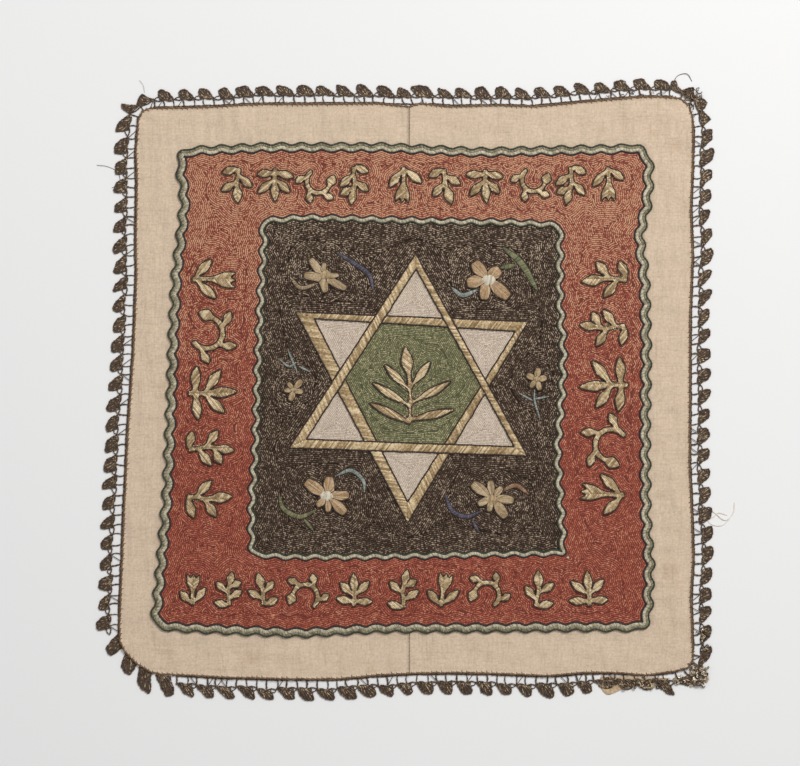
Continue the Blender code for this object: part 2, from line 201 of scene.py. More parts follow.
def crossings(edges, level):
    """Where a line along X at a level crosses some edges, from left to right."""
    starts, ends = edges
    hit = (starts[:, 1] > level) != (ends[:, 1] > level)
    a, b = starts[hit], ends[hit]
    return np.sort(a[:, 0] + (level - a[:, 1]) * (b[:, 0] - a[:, 0]) / (b[:, 1] - a[:, 1]))


# ---- meshes ----

class Pile:
    """Points and four-cornered faces that end up in one mesh."""

    def __init__(self):
        self.points, self.faces, self.tones, self.count = [], [], [], 0

    def add(self, points, faces, tones=0.5):
        """Points and faces; each point's tone picks its stitch's shade."""
        self.points.append(np.asarray(points, float).reshape(-1, 3))
        self.faces.append(np.asarray(faces, int).reshape(-1, 4) + self.count)
        self.tones.append(np.broadcast_to(tones, len(self.points[-1])))
        self.count += len(self.points[-1])

    def sheets(self, grid, closed=False, tones=0.5):
        """A grid of points with faces between neighbours; closed joins its last row to its first."""
        rows, columns = grid.shape[:2]
        index = np.arange(rows * columns).reshape(rows, columns)
        here, beyond = (index, np.roll(index, -1, axis=0)) if closed else (index[:-1], index[1:])
        faces = np.stack([here[:, :-1], beyond[:, :-1], beyond[:, 1:], here[:, 1:]], axis=-1)
        self.add(grid, faces, np.repeat(np.broadcast_to(tones, rows), columns))

    def mesh(self, name, material):
        """The finished piece, which rides with the cloth."""
        points, faces = np.vstack(self.points) * MM, np.vstack(self.faces)
        mesh = bpy.data.meshes.new(name)
        mesh.vertices.add(len(points))
        mesh.vertices.foreach_set("co", points.ravel())
        mesh.loops.add(faces.size)
        mesh.loops.foreach_set("vertex_index", faces.ravel())
        mesh.polygons.add(len(faces))
        mesh.polygons.foreach_set("loop_start", np.arange(0, faces.size, 4))
        mesh.polygons.foreach_set("use_smooth", np.full(len(faces), True))
        mesh.update(calc_edges=True)
        mesh.attributes.new("tone", "FLOAT", "POINT").data.foreach_set("value", np.concatenate(self.tones))
        mesh.materials.append(material)
        obj = bpy.data.objects.new(name, mesh)
        bpy.context.scene.collection.objects.link(obj)
        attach(obj, "root")
        return obj


def ribbon(pile, line, widths, base, rises, tones=0.5, closed=False):
    """An arched ribbon along a line; widths, rises and tones may differ at each point."""
    count = len(line)
    across = left_of(directions(line, closed)) * (np.broadcast_to(widths, count) / 2)[:, None]
    low, high = np.broadcast_to(base, count), np.broadcast_to(base, count) + rises
    grid = np.empty((count, 3, 3))
    for column, side in enumerate((1, 0, -1)):
        grid[:, column, :2] = line + across * side
        grid[:, column, 2] = high if side == 0 else low
    pile.sheets(grid, closed, tones)


def twisted(radius, line, swell, rate):
    """A cord's radius along its line, which swells and narrows as its strands turn."""
    return radius * (1 + swell * np.sin(np.arange(len(line)) * rate))


def cord(pile, line, radii, level, closed=False, sides=6, tones=0.5):
    """A round cord along a line of (x, y), with its middle at the given level or resting on the floor."""
    count = len(line)
    across = left_of(directions(line, closed))
    turns = np.linspace(0, 2 * math.pi, sides + 1)
    radii = np.broadcast_to(radii, count)
    level = np.maximum(level, radii)
    grid = np.empty((count, sides + 1, 3))
    grid[..., :2] = line[:, None] + across[:, None] * (np.cos(turns)[None, :, None] * radii[:, None, None])
    grid[..., 2] = level[:, None] + np.sin(turns)[None] * radii[:, None]
    pile.sheets(grid[:, ::-1], closed, tones)


ARCH = np.array([(0.0, 0.0), (0.16, 0.72), (0.5, 1.0), (0.84, 0.72), (1.0, 0.0)])


def stitches(pile, starts, ends, width, base, rises):
    """Many straight satin stitches at once, each an arched thread from its start to its end."""
    starts, ends = np.asarray(starts, float), np.asarray(ends, float)
    across = left_of(unit(ends - starts)) * (width / 2)
    rises = np.broadcast_to(rises, len(starts))
    grid = np.empty((len(starts), len(ARCH), 3, 3))
    for row, (share, height) in enumerate(ARCH):
        centre = starts + (ends - starts) * share
        for column, side in enumerate((1, 0, -1)):
            grid[:, row, column, :2] = centre + across * side
            grid[:, row, column, 2] = base + rises * height - (0.0 if side == 0 else 0.3 * width)
    index = np.arange(len(starts) * len(ARCH) * 3).reshape(len(starts), len(ARCH), 3)
    here, beyond = index[:, :-1], index[:, 1:]
    faces = np.stack([here[..., :-1], beyond[..., :-1], beyond[..., 1:], here[..., 1:]], axis=-1)
    tones = np.array([uneven.random() for _ in starts])
    pile.add(grid, faces, np.repeat(tones, len(ARCH) * 3))


def hatched(loops, degrees, spacing):
    """Where parallel lines in one direction cross the inside of some loops: their starts and ends."""
    angle = math.radians(degrees)
    turn = np.array([[math.cos(angle), math.sin(angle)], [-math.sin(angle), math.cos(angle)]])
    edges = edges_of([loop @ turn.T for loop in loops])
    heights = edges[0][:, 1]
    starts, ends = [], []
    for level in np.arange(heights.min() + spacing / 2, heights.max(), spacing):
        places = crossings(edges, level)
        for left, right in zip(places[::2], places[1::2]):
            starts.append((left, level))
            ends.append((right, level))
    return np.array(starts).reshape(-1, 2) @ turn, np.array(ends).reshape(-1, 2) @ turn


# ---- chain stitch: rows that echo the outlines round them ----

class Field:
    """A stitched area: how deep each place in it lies from the nearest outline."""

    def __init__(self, loops, step):
        corners = np.vstack(loops)
        self.step = step
        self.low = corners.min(axis=0) - step
        columns, rows = np.ceil((corners.max(axis=0) - self.low) / step).astype(int) + 2
        self.x = self.low[0] + np.arange(columns) * step
        self.y = self.low[1] + np.arange(rows) * step
        self.inside = np.zeros((rows, columns), bool)
        edges = edges_of(loops)
        for row, level in enumerate(self.y):
            places = crossings(edges, level)
            for left, right in zip(places[::2], places[1::2]):
                self.inside[row, (self.x > left) & (self.x < right)] = True
        tree = tree_of(np.vstack([stepped(loop, step / 2, closed=True) for loop in loops]))
        self.depth = np.full((rows, columns), -step)
        for row, column in np.argwhere(self.inside):
            self.depth[row, column] = tree.find((self.x[column], self.y[row], 0))[2]

    def rows(self, pitch, first, sway):
        """Lines of even depth, a pitch apart, that sway a little."""
        depth = self.depth.copy()
        for row, column in np.argwhere(self.inside):
            push = swirl(self.x[column] / 9, self.y[row] / 9, 0.5)
            depth[row, column] += sway * min(1.0, depth[row, column] / 4) * push
        level = (depth - first) / pitch
        met = {}
        for name, other in (("across", level[:, 1:]), ("up", level[1:])):
            here = level[:, :-1] if name == "across" else level[:-1]
            line = np.maximum(np.floor(here), np.floor(other))
            found = (np.floor(here) != np.floor(other)) & (line >= 0)
            share = (line - here) / np.where(other == here, 1, other - here)
            for row, column in np.argwhere(found):
                met[name, row, column] = (line[row, column], share[row, column])
        links = {}
        cells = {(row - below, column - beside) for name, row, column in met
                 for below, beside in (((0, 0), (1, 0)) if name == "across" else ((0, 0), (0, 1)))}
        for row, column in sorted(cells):
            by_line = {}
            for side in (("across", row, column), ("up", row, column + 1),
                         ("across", row + 1, column), ("up", row, column)):
                if side in met:
                    by_line.setdefault(met[side][0], []).append(side)
            for sides in by_line.values():
                for a, b in zip(sides[::2], sides[1::2]):
                    links.setdefault(a, []).append(b)
                    links.setdefault(b, []).append(a)
        return self.chained(links, met)

    def chained(self, links, met):
        """The places where rows meet the grid, strung together into lines."""
        ends = [key for key in links if len(links[key]) == 1]
        seen, lines = set(), []
        for start in ends + list(links):
            if start in seen:
                continue
            line, here = [], start
            while here is not None:
                seen.add(here)
                name, row, column = here
                share = met[here][1]
                x, y = self.x[column], self.y[row]
                line.append((x + share * self.step, y) if name == "across" else (x, y + share * self.step))
                here = next((near for near in links[here] if near not in seen), None)
            lines.append(np.array(line))
        return [line for line in lines if len(line) > 4]


LINK = 1.75  # the length of one chain stitch
SWAY = 0.7


def chain_rows(pile, loops, pitch, base, rise):
    """Rows of chain stitch that fill an area: each link swells and narrows along its row."""
    field = Field(loops, pitch / 2)
    for row in field.rows(pitch, pitch * 0.55, SWAY):
        line = stepped(row, LINK / 2)
        if len(line) < 3:
            continue
        swell = np.arange(len(line)) % 2
        widths = pitch * (0.62 + 0.3 * swell) * (1 + 0.12 * np.sin(np.arange(len(line)) * 1.7))
        tones = np.array([uneven.random() for _ in line])
        ribbon(pile, line, widths, base, rise * (0.55 + 0.45 * swell), tones)


# ---- materials ----

def linear(colour):
    """A 0-255 screen colour as the numbers a shader takes."""
    shares = [value / 255 for value in colour]
    return [s / 12.92 if s < 0.04045 else ((s + 0.055) / 1.055) ** 2.4 for s in shares] + [1.0]


class Maker:
    """One node-based material, put together a step at a time."""

    def __init__(self, name, roughness, metallic=0.0, sheen=0.0, specular=0.3):
        self.material = bpy.data.materials.new(name)
        self.material.use_nodes = True
        self.tree = self.material.node_tree
        self.shader = self.tree.nodes["Principled BSDF"]
        self.feed(self.shader, {"Roughness": roughness, "Metallic": metallic, "Sheen Weight": sheen,
                                "Sheen Roughness": 0.5, "Specular IOR Level": specular})
        self.place = self.tree.nodes.new("ShaderNodeTexCoord").outputs["Object"]
        self.relief = []

    def node(self, kind, inputs=None, **settings):
        node = self.tree.nodes.new(kind)
        for name, value in settings.items():
            setattr(node, name, value)
        self.feed(node, inputs or {})
        return node

    def feed(self, node, inputs):
        """Sets a node's inputs by name or number: an output is joined, and a plain value is set."""
        for name, value in inputs.items():
            if isinstance(value, bpy.types.NodeSocket):
                self.tree.links.new(value, node.inputs[name])
            else:
                node.inputs[name].default_value = value

    def noise(self, size, detail=2.0, stretch=(1, 1, 1)):
        """Noise whose features are about the given size."""
        mapping = self.node("ShaderNodeMapping", {"Scale": stretch, "Vector": self.place})
        texture = self.node("ShaderNodeTexNoise", {"Scale": 1 / (size * MM), "Detail": detail,
                                                   "Roughness": 0.55, "Vector": mapping.outputs["Vector"]})
        return texture.outputs["Fac"]

    def waves(self, pitch, axis):
        """Threads laid side by side along one axis."""
        inputs = {"Scale": 1 / (pitch * MM) / 3.18, "Distortion": 1.0, "Detail": 1.0, "Detail Scale": 0.6,
                  "Vector": self.place}
        return self.node("ShaderNodeTexWave", inputs, bands_direction=axis).outputs["Fac"]

    def ramp(self, value, stops):
        """Colours, each with its place between 0 and 1."""
        ramp = self.node("ShaderNodeValToRGB", {"Fac": value})
        elements = ramp.color_ramp.elements
        while len(elements) < len(stops):
            elements.new(0.5)
        for element, (place, colour) in zip(elements, stops):
            element.position = place
            element.color = linear(colour)
        return ramp.outputs["Color"]

    def spread(self, value, low, high):
        """The value stretched so that low gives 0 and high gives 1."""
        node = self.node("ShaderNodeMapRange", {"From Min": low, "From Max": high, "Value": value})
        return node.outputs["Result"]

    def total(self, shares):
        """Several values added together, each times its weight."""
        result = 0.0
        for value, weight in shares:
            inputs = {0: value, 1: weight, 2: result}
            result = self.node("ShaderNodeMath", inputs, operation="MULTIPLY_ADD").outputs[0]
        return result

    def upwards(self):
        """0 below the cloth's middle, rising to 1 near its top edge."""
        parts = self.node("ShaderNodeSeparateXYZ", {0: self.place})
        return self.spread(parts.outputs["Y"], -0.06, 0.14)

    def mixed(self, share, first, second, how="MIX"):
        """Two colours blended by a share; all three are values or sockets."""
        first, second = (linear(value) if isinstance(value, tuple) else value for value in (first, second))
        inputs = {0: share, 6: first, 7: second}
        return self.node("ShaderNodeMix", inputs, data_type="RGBA", blend_type=how).outputs[2]

    def raised(self, value, depth):
        """Relief of the given depth from a 0 to 1 value."""
        self.relief.append((value, depth))

    def done(self, colour):
        self.feed(self.shader, {"Base Color": colour})
        below = {}
        for value, depth in self.relief:
            inputs = {"Strength": 0.9, "Distance": depth * MM, "Height": value}
            bump = self.node("ShaderNodeBump", inputs | below)
            below = {"Normal": bump.outputs["Normal"]}
        self.feed(self.shader, below)
        return self.material


def thread(name, dark, mid, pale, gilt_and_highlight=None, spread_up=0.0, size=1.0, roughness=0.6, metallic=0.0,
           specular=0.3):
    """Worn thread: each stitch has its own shade between dark and pale, broken up in small patches.

    Its gilt and highlight: the gilt thread's colour, paled as a painted highlight, that shows in the
    brightest places, and how far it spreads, which may grow towards the cloth's top edge.
    """
    make = Maker(name, roughness, metallic, 0.0, specular)
    stitch = make.node("ShaderNodeAttribute", attribute_name="tone").outputs["Fac"]
    patchy = [(make.noise(size, 2.0), 0.55), (make.noise(7, 2.0), 0.17), (stitch, 0.28)]
    colour = make.ramp(make.total(patchy), [(0.34, dark), (0.5, mid), (0.66, pale)])
    if gilt_and_highlight:
        gilt_and_highlight_colour, share = gilt_and_highlight
        # The gilt spreads further towards the cloth's top edge, so the stitches grow paler upwards.
        spots = make.total([(stitch, 0.4), (make.noise(0.7, 2.0), 0.6), (make.noise(14, 3.0), 0.3),
                            (make.upwards(), spread_up)])
        # Gilt mixed into the brightest stitches: the metal thread's own colour, paled as a painted
        # highlight.
        colour = make.mixed(make.spread(spots, 0.83 - share, 1.05 - share), colour, gilt_and_highlight_colour)
    make.raised(make.noise(0.35, 1.0), 0.12)
    return make.done(colour)


def cloth(name, dark, mid, pale, pitch, slubs, roughness=0.85):
    """Plain weave with uneven threads both ways, broad faint shading and a few stains."""
    make = Maker(name, roughness, sheen=0.15, specular=0.2)
    colour = make.ramp(make.noise(1.8, 3.0), [(0.3, dark), (0.5, mid), (0.7, pale)])
    across = make.noise(1.6, 2.0, (0.08, 1, 1))
    along = make.noise(1.6, 2.0, (1, 0.08, 1))
    for threads, thick in ((across, (236, 232, 226)), (along, (238, 234, 228))):
        tint = make.ramp(threads, [(0.34, (226, 222, 216)), (0.5, (255, 255, 255)), (0.7, thick)])
        colour = make.mixed(slubs, colour, tint, "MULTIPLY")
    stain = make.spread(make.noise(38, 4.0), 0.6, 0.74)
    stained = make.mixed(0.3, colour, (214, 196, 172), "MULTIPLY")
    colour = make.mixed(stain, colour, stained)
    make.raised(make.noise(11, 1.0, (1, 0.3, 1)), 2.6)
    make.raised(make.noise(16, 1.0, (0.45, 1, 1)), 2.0)
    make.raised(make.waves(pitch, "X"), 0.10)
    make.raised(make.waves(pitch, "Y"), 0.10)
    make.raised(across, 0.14)
    make.raised(along, 0.14)
    return make.done(colour)


def satin(name, dark, mid, pale, size=1.6, roughness=0.45, metallic=0.0):
    """Silk or metal thread, which shines more than the chain stitch."""
    return thread(name, dark, mid, pale, size=size, roughness=roughness, metallic=metallic)


LINEN = cloth("linen", (204, 182, 158), (214, 193, 169), (222, 202, 179), 0.62, 0.36)
LINING = cloth("lining", (176, 150, 118), (196, 172, 140), (212, 190, 160), 0.8, 0.5)
SEAM_THREAD = thread("seam_thread", (122, 100, 76), (152, 128, 100), (178, 154, 124))
OVERCAST = thread("overcast_thread", (70, 50, 35), (106, 80, 56), (146, 118, 86))
FRAY = thread("frayed_thread", (212, 200, 182), (226, 216, 200), (238, 231, 220))

# The gilt colours in these threads are metal thread, paled further as painted highlight.
RED = thread("red_chain_stitch", (118, 48, 33), (160, 79, 58), (190, 110, 84),
             gilt_and_highlight=((200, 152, 118), 0.1), spread_up=0.23)
# A darker copy of the red thread for the plate under the rows: painted shade in the gaps between them.
RED_PAINTED_SHADE = thread("red_chain_painted_shade", (92, 38, 27), (122, 56, 41), (150, 78, 58),
                   gilt_and_highlight=((182, 126, 98), 0.02), spread_up=0.34)
DARK = thread("dark_chain_stitch", (50, 38, 30), (82, 66, 54), (120, 103, 88),
              gilt_and_highlight=((184, 164, 142), 0.13), spread_up=0.05, size=0.8, specular=0.1)
# A darker copy of the dark thread for its plate: painted shade between the rows.
DARK_PAINTED_SHADE = thread("dark_chain_painted_shade", (36, 27, 21), (54, 42, 33), (74, 60, 49),
                    roughness=0.8, specular=0.1)
IVORY = thread("ivory_chain_stitch", (182, 165, 148), (206, 190, 173), (224, 211, 195))
# A darker copy of the ivory thread for its plates: painted shade between the rows.
IVORY_PAINTED_SHADE = thread("ivory_chain_painted_shade", (158, 142, 125), (180, 164, 146), (198, 182, 164))
GREEN = thread("green_chain_stitch", (84, 84, 50), (122, 120, 84), (156, 152, 114),
               gilt_and_highlight=((190, 180, 142), 0.12))
# A darker copy of the green thread for its plate: painted shade between the rows.
GREEN_PAINTED_SHADE = thread("green_chain_painted_shade", (66, 66, 42), (92, 90, 62), (118, 114, 84))

GOLD_BAND = satin("gold_padded_band", (126, 102, 68), (170, 145, 107), (216, 196, 160), 1.6, 0.4, 0.15)
GOLD = satin("gold_motif", (126, 102, 70), (168, 144, 107), (212, 193, 158), 1.6, 0.4, 0.15)
FLOWER_GOLD = satin("gold_satin_stitch", (128, 106, 74), (158, 135, 100), (184, 162, 128))
FLOWER_TAN = satin("tan_satin_stitch", (132, 110, 80), (162, 139, 106), (188, 168, 136))
FLOWER_ORANGE = satin("orange_satin_stitch", (138, 108, 75), (168, 140, 105), (194, 168, 135))
PALE_SILK = satin("ivory_satin_stitch", (130, 121, 99), (168, 159, 134), (202, 195, 172), 1.3)
HEART_SILK = satin("heart_satin_stitch", (166, 154, 132), (192, 182, 162), (214, 206, 190), 1.3)
OLIVE_SILK = satin("olive_satin_stitch", (80, 75, 55), (117, 110, 86), (156, 147, 121), 1.3)

INDIGO = thread("indigo_satin_stitch", (52, 49, 60), (76, 73, 88), (108, 104, 116))
LIGHT_BLUE = thread("pale_blue_satin_stitch", (92, 97, 93), (126, 132, 127), (160, 165, 157))
LEAF_GREEN = thread("green_satin_stitch", (70, 72, 48), (100, 102, 70), (134, 134, 100))
OLIVE_STEM = thread("olive_satin_stem", (76, 74, 48), (104, 102, 70), (136, 132, 98))
RUST_STEM = thread("rust_satin_stem", (108, 78, 56), (138, 106, 80), (170, 138, 110))
TAN_STEM = thread("tan_satin_stem", (110, 90, 66), (142, 122, 94), (174, 156, 126))

PINE_CORD = thread("dark_green_cord", (30, 34, 26), (48, 52, 40), (78, 80, 62))
NAVY_CORD = thread("navy_cord", (26, 22, 26), (42, 36, 38), (72, 62, 60))
BROWN_CORD = thread("dark_brown_cord", (30, 21, 18), (48, 37, 31), (82, 68, 54))

# The lace's gilt colour is metal thread, paled further as painted highlight.
LACE = thread("metal_lace", (52, 39, 30), (92, 73, 56), (148, 126, 98),
              gilt_and_highlight=((214, 194, 160), 0.1), roughness=0.4, metallic=0.3, specular=0.5)
# A darker copy of the lace for the web under the shells' ribs: painted shade between the ribs.
LACE_PAINTED_SHADE = thread("metal_lace_painted_shade", (44, 33, 26), (70, 55, 43), (104, 85, 67))
LACE_RIM = satin("metal_lace_rim", (44, 34, 27), (76, 60, 47), (124, 102, 78), 1.0, 0.45, 0.2)
# Near-white metal thread for a few loops in the crushed lace: painted glints.
LACE_PAINTED_GLINTS = satin("metal_lace_painted_glints", (140, 120, 100), (196, 180, 160), (240, 232, 220), 1.0, 0.25, 0.5)


# ---- the cloth ----

def facing(line, start, end):
    """The stretch of a closed line from one corner to the next, anticlockwise."""
    first = int(np.argmin(np.linalg.norm(line - start, axis=1)))
    turned = np.roll(line, -first, axis=0)
    last = int(np.argmin(np.linalg.norm(turned - end, axis=1)))
    return turned[: last + 1]


def patch(outline, columns, rows):
    """A grid of places that fills a roughly four-sided outline."""
    corners = [outline[np.argmax(outline @ np.array(way))] for way in ((-1, -1), (1, -1), (1, 1), (-1, 1))]
    line = stepped(outline, 0.5, closed=True)
    bottom = evenly(facing(line, corners[0], corners[1]), columns)
    right = evenly(facing(line, corners[1], corners[2]), rows)
    top = evenly(facing(line, corners[2], corners[3]), columns)[::-1]
    left = evenly(facing(line, corners[3], corners[0]), rows)[::-1]
    u = np.linspace(0, 1, columns)[None, :, None]
    v = np.linspace(0, 1, rows)[:, None, None]
    ruled = (1 - v) * bottom[None] + v * top[None] + (1 - u) * left[:, None] + u * right[:, None]
    ends = (1 - u) * (1 - v) * bottom[0] + u * (1 - v) * bottom[-1] + (1 - u) * v * top[0] + u * v * top[-1]
    return ruled - ends


EMBROIDERED = outlines("border_outer")[0]
FLAT_TOP, LINEN_THICK, LINEN_STEP = 1.2, 1.0, 3.2
RIPPLE, FREE_EDGE = 1.2, 22.0
PUCKERED = ((232.0, -232.0), (-228.0, 229.0))  # corners drawn up by the sewing of the lace


def lift(x, y):
    """How far the loose margin has risen off the floor at a place."""
    beyond = max(EMBROIDERED[:, 0].min() - x, x - EMBROIDERED[:, 0].max(),
                 EMBROIDERED[:, 1].min() - y, y - EMBROIDERED[:, 1].max())
    share = min(1.0, max(0.0, beyond / FREE_EDGE))
    beside = abs(y) < EMBROIDERED[:, 1].max()
    pucker = 0.0
    for corner_x, corner_y in PUCKERED:
        reach = math.hypot(x - corner_x, y - corner_y)
        turn = math.atan2(y - corner_y, x - corner_x)
        pucker += 0.9 * max(0.0, 1 - reach / 48) * min(1.0, reach / 12) * math.sin(13 * turn)
    broad = swirl(x / 70, y / 26, 3.1) if beside else swirl(x / 24, y / 70, 5.7)
    small = swirl(x / 17, y / 13, 8.3)
    return share * RIPPLE * max(0.0, 0.5 + 1.1 * broad + 0.6 * small + pucker)


def linen_sheet(side):
    """One width of the ground as a closed thin sheet."""
    outline = outlines("ground_" + side)[0]
    columns, rows = (round(reach / LINEN_STEP) + 1 for reach in np.ptp(outline, axis=0))
    flat = patch(outline, columns, rows)
    rises = np.array([[lift(x, y) for x, y in row] for row in flat])
    upper = np.dstack([flat, FLAT_TOP + rises])
    lower = np.dstack([flat, FLAT_TOP - LINEN_THICK + rises])
    pile = Pile()
    pile.sheets(upper.transpose(1, 0, 2)[:, ::-1])
    below = pile.count
    pile.sheets(lower)
    index_up = np.arange(columns * rows).reshape(columns, rows)[:, ::-1].T
    index_low = np.arange(columns * rows).reshape(rows, columns) + below
    for up, low in ((index_up[0], index_low[0]), (index_up[:, -1], index_low[:, -1]),
                    (index_up[-1, ::-1], index_low[-1, ::-1]), (index_up[::-1, 0], index_low[::-1, 0])):
        pile.faces.append(np.stack([low[:-1], low[1:], up[1:], up[:-1]], axis=1))
    return pile.mesh("linen_" + side, LINEN)


def make_ground():
    """The two widths of linen and the seam between them."""
    pieces = []
    for side in ("left", "right"):
        piece = linen_sheet(side)
        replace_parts(piece, "ground_" + side)
        pieces.append(piece)
    edge_left, edge_right = outlines("ground_left")[0], outlines("ground_right")[0]
    seam = (edge_left[:, 0].max() + edge_right[:, 0].min()) / 2
    low, high = edge_left[:, 1].min() + 3, edge_left[:, 1].max() - 3
    # A strip under the gap between the widths, in seam-thread brown: partly the seam thread, partly painted
    # shade in the gap.
    pile = Pile()
    line = stepped(np.array([(seam, low), (seam, high)]), 2.0)
    ribbon(pile, line, 2.4, 0.55, 0.02)
    painted_shade = pile.mesh("seam_shade", SEAM_THREAD)
    pile = Pile()
    for y in np.arange(low, high, 2.7):
        x = seam + uneven.uniform(-0.15, 0.15)
        level = FLAT_TOP + lift(x, y) + 0.04
        stitch = np.array([(x - 0.7, y - 0.5), (x, y), (x + 0.7, y + 0.5)])
        cord(pile, stitch, [0.16, 0.2, 0.16], level, sides=5)
    joins = pile.mesh("seam_stitches", SEAM_THREAD)
    for side, piece in zip(("left", "right"), pieces):
        width, height = np.ptp(outlines("ground_" + side)[0], axis=0) * MM


LINING_COLUMNS, LINING_THICK = 30, 0.4
LINING_FREE = -233.0  # below this the scrap has slipped out from under the lace


def make_lining():
    """The scrap of lining, whose free corner lifts in soft folds."""
    outline = outlines("lining_corner")[0]
    starts, ends = hatched([outline], 0, 1.2)
    share = np.linspace(0, 1, LINING_COLUMNS)[None, :, None]
    upper = np.full((len(starts), LINING_COLUMNS, 3), 0.45)
    upper[..., :2] = starts[:, None] * (1 - share) + ends[:, None] * share
    for place in upper.reshape(-1, 3):
        if place[1] < LINING_FREE:
            place[2] += 0.9 * max(0.0, swirl(place[0] / 9, place[1] / 7, 1.0))
    lower = upper.copy()
    lower[..., 2] = np.maximum(0.05, upper[..., 2] - LINING_THICK)
    ring = np.concatenate([upper, lower[:, ::-1]], axis=1)
    pile = Pile()
    pile.sheets(ring.transpose(1, 0, 2), closed=True)
    index = np.arange(pile.count).reshape(2 * LINING_COLUMNS, len(starts))
    for row, way in ((0, 1), (-1, -1)):
        up = index[:LINING_COLUMNS, row][::way]
        low = index[LINING_COLUMNS:, row][::-way]
        pile.faces.append(np.stack([low[:-1], low[1:], up[1:], up[:-1]], axis=1))
    piece = pile.mesh("lining_scrap", LINING)
    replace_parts(piece, "lining_corner")


# ---- the filled fields ----

def within(node, field):
    """True if the middle of a node lies in one field's ring."""
    x, y = middle(node)
    return sum(place > x for place in crossings(edges_of(outlines(field)), y)) % 2 == 1


FIELD_TOP, CHAIN_RISE = 2.3, 0.7


def make_field(node, pitch, material, painted_shade):
    """Chain stitch over one field, round the work set on it; its plate, a darker copy of the thread, is
    painted shade between the rows.
    """
    loops = list(outlines(node))
    for other in named("motif") + named("flower"):
        if within(other, node):
            loops.append(outlines(other)[0])
    pile = Pile()
    chain_rows(pile, loops, pitch, FIELD_TOP - 0.12, CHAIN_RISE)
    pile.mesh(node + "_stitches", material)
    # The plate takes the darker copy: painted shade between the rows.
    dye(node, painted_shade)


def make_fields():
    make_field("field_red", 1.5, RED, RED_PAINTED_SHADE)
    make_field("field_dark", 1.5, DARK, DARK_PAINTED_SHADE)
    make_field("hexagon_green", 1.35, GREEN, GREEN_PAINTED_SHADE)
    for node in named("ivory"):
        make_field(node, 1.25, IVORY, IVORY_PAINTED_SHADE)


# ---- borders, star, motifs and flowers ----

BORDER_TOP, STAR_TOP, RAISED_TOP, HEART_TOP = 2.6, 2.85, 3.3, 3.6  # where each one's threads begin
SLANTED_BY = 2  # how many stitches further on a border's stitch ends
CORNER_PASSES, WHOLE_PASSES = 26, 5  # of smoothing: the corners alone after the first few


def border_line(node):
    """The smooth middle line of a wavy border, rounded off at its four corners."""
    outer, inner = outlines(node)
    rim = smoothed(outer, 1.0, closed=True)
    line = stepped((rim + nearest_on(stepped(inner, 0.3, closed=True), rim)) / 2, 0.7, closed=True)
    low, high = line.min(axis=0), line.max(axis=0)
    from_corner = np.linalg.norm(np.minimum(line - low, high - line), axis=1)
    at_corner = np.clip(2 - from_corner / 9, 0, 1)[:, None]
    for turn in range(CORNER_PASSES):
        pull = 1 if turn < WHOLE_PASSES else at_corner
        line = line + pull * ((np.roll(line, 1, axis=0) + np.roll(line, -1, axis=0)) / 4 - line / 2)
    return line


def make_border(node, stripes, cords, fields):
    """Slanted satin stripes between cords over a padding; the fields beside it run on below its edges."""
    line = border_line(node)
    outward = -left_of(directions(line, closed=True))
    edge = max(place for place, radius, material in cords) + 0.4
    pile = Pile()
    ribbon(pile, line, 2 * edge, BORDER_TOP - 1.1, 1.0, closed=True)
    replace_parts(pile.mesh(node + "_padding", PINE_CORD), node)
    # Each strip is a field's plate running on beneath the border, in that field's darker copy: painted shade
    # under the border's edge.
    for i, (place, material) in enumerate(fields):
        pile = Pile()
        ribbon(pile, line + outward * place, 2.8, 2.0, 0.22, closed=True)
        pile.mesh(f"{node}_beside_{i + 1}", material)
    for i, (far, near, material) in enumerate(stripes):
        starts = line + outward * far
        ends = np.roll(line + outward * near, SLANTED_BY, axis=0)
        jitter = outward * np.array([uneven.uniform(-0.12, 0.12) for _ in line])[:, None]
        pile = Pile()
        stitches(pile, starts + jitter, ends + jitter, 0.78, BORDER_TOP, 0.42)
        pile.mesh(f"{node}_stripe_{i + 1}", material)
    for i, (place, radius, material) in enumerate(cords):
        pile = Pile()
        course = stepped(wander(line + outward * place, 0.18, 3.0, i), 1.0, closed=True)
        cord(pile, course, twisted(radius, course, 0.18, 2.4), BORDER_TOP + 0.1, closed=True)
        pile.mesh(f"{node}_cord_{i + 1}", material)


def make_borders():
    """Places run outwards from each border's middle line."""
    make_border("border_outer", stripes=[(2.45, 0.3, OLIVE_SILK), (0.35, -2.3, PALE_SILK)],
                cords=[(2.8, 0.72, PINE_CORD), (-2.75, 0.72, NAVY_CORD)], fields=[(-3.8, RED_PAINTED_SHADE)])
    make_border("border_inner", stripes=[(1.5, -1.3, PALE_SILK)],
                cords=[(1.95, 0.65, NAVY_CORD), (-1.85, 0.7, PINE_CORD)],
                fields=[(2.95, RED_PAINTED_SHADE), (-2.85, DARK_PAINTED_SHADE)])


def split(starts, ends, point, axis, keep):
    """The parts of some stitches that lie on one side of a line through a point; keep is 1 for its left."""
    normal = left_of(axis) * keep
    a, b = (starts - point) @ normal, (ends - point) @ normal
    share = np.clip(a / np.where(a == b, 1, a - b), 0, 1)[:, None]
    cut = starts + (ends - starts) * share
    starts = np.where((a < 0)[:, None], cut, starts)
    ends = np.where((b < 0)[:, None], cut, ends)
    used = ((a > 0) | (b > 0)) & (np.linalg.norm(ends - starts, axis=1) > 0.5)
    return starts[used], ends[used]


def jagged(starts, ends, size):
    """The ends of some stitches, a little uneven."""
    ways = unit(ends - starts)
    shifts = np.array([(uneven.uniform(-size, size), uneven.uniform(-size, size)) for _ in starts])
    return starts + ways * shifts[:, :1], ends + ways * shifts[:, 1:]


STAR_PITCH, STAR_SLANT = 1.05, 54


def heading(way):
    """A direction's angle in degrees."""
    return math.degrees(math.atan2(way[1], way[0]))


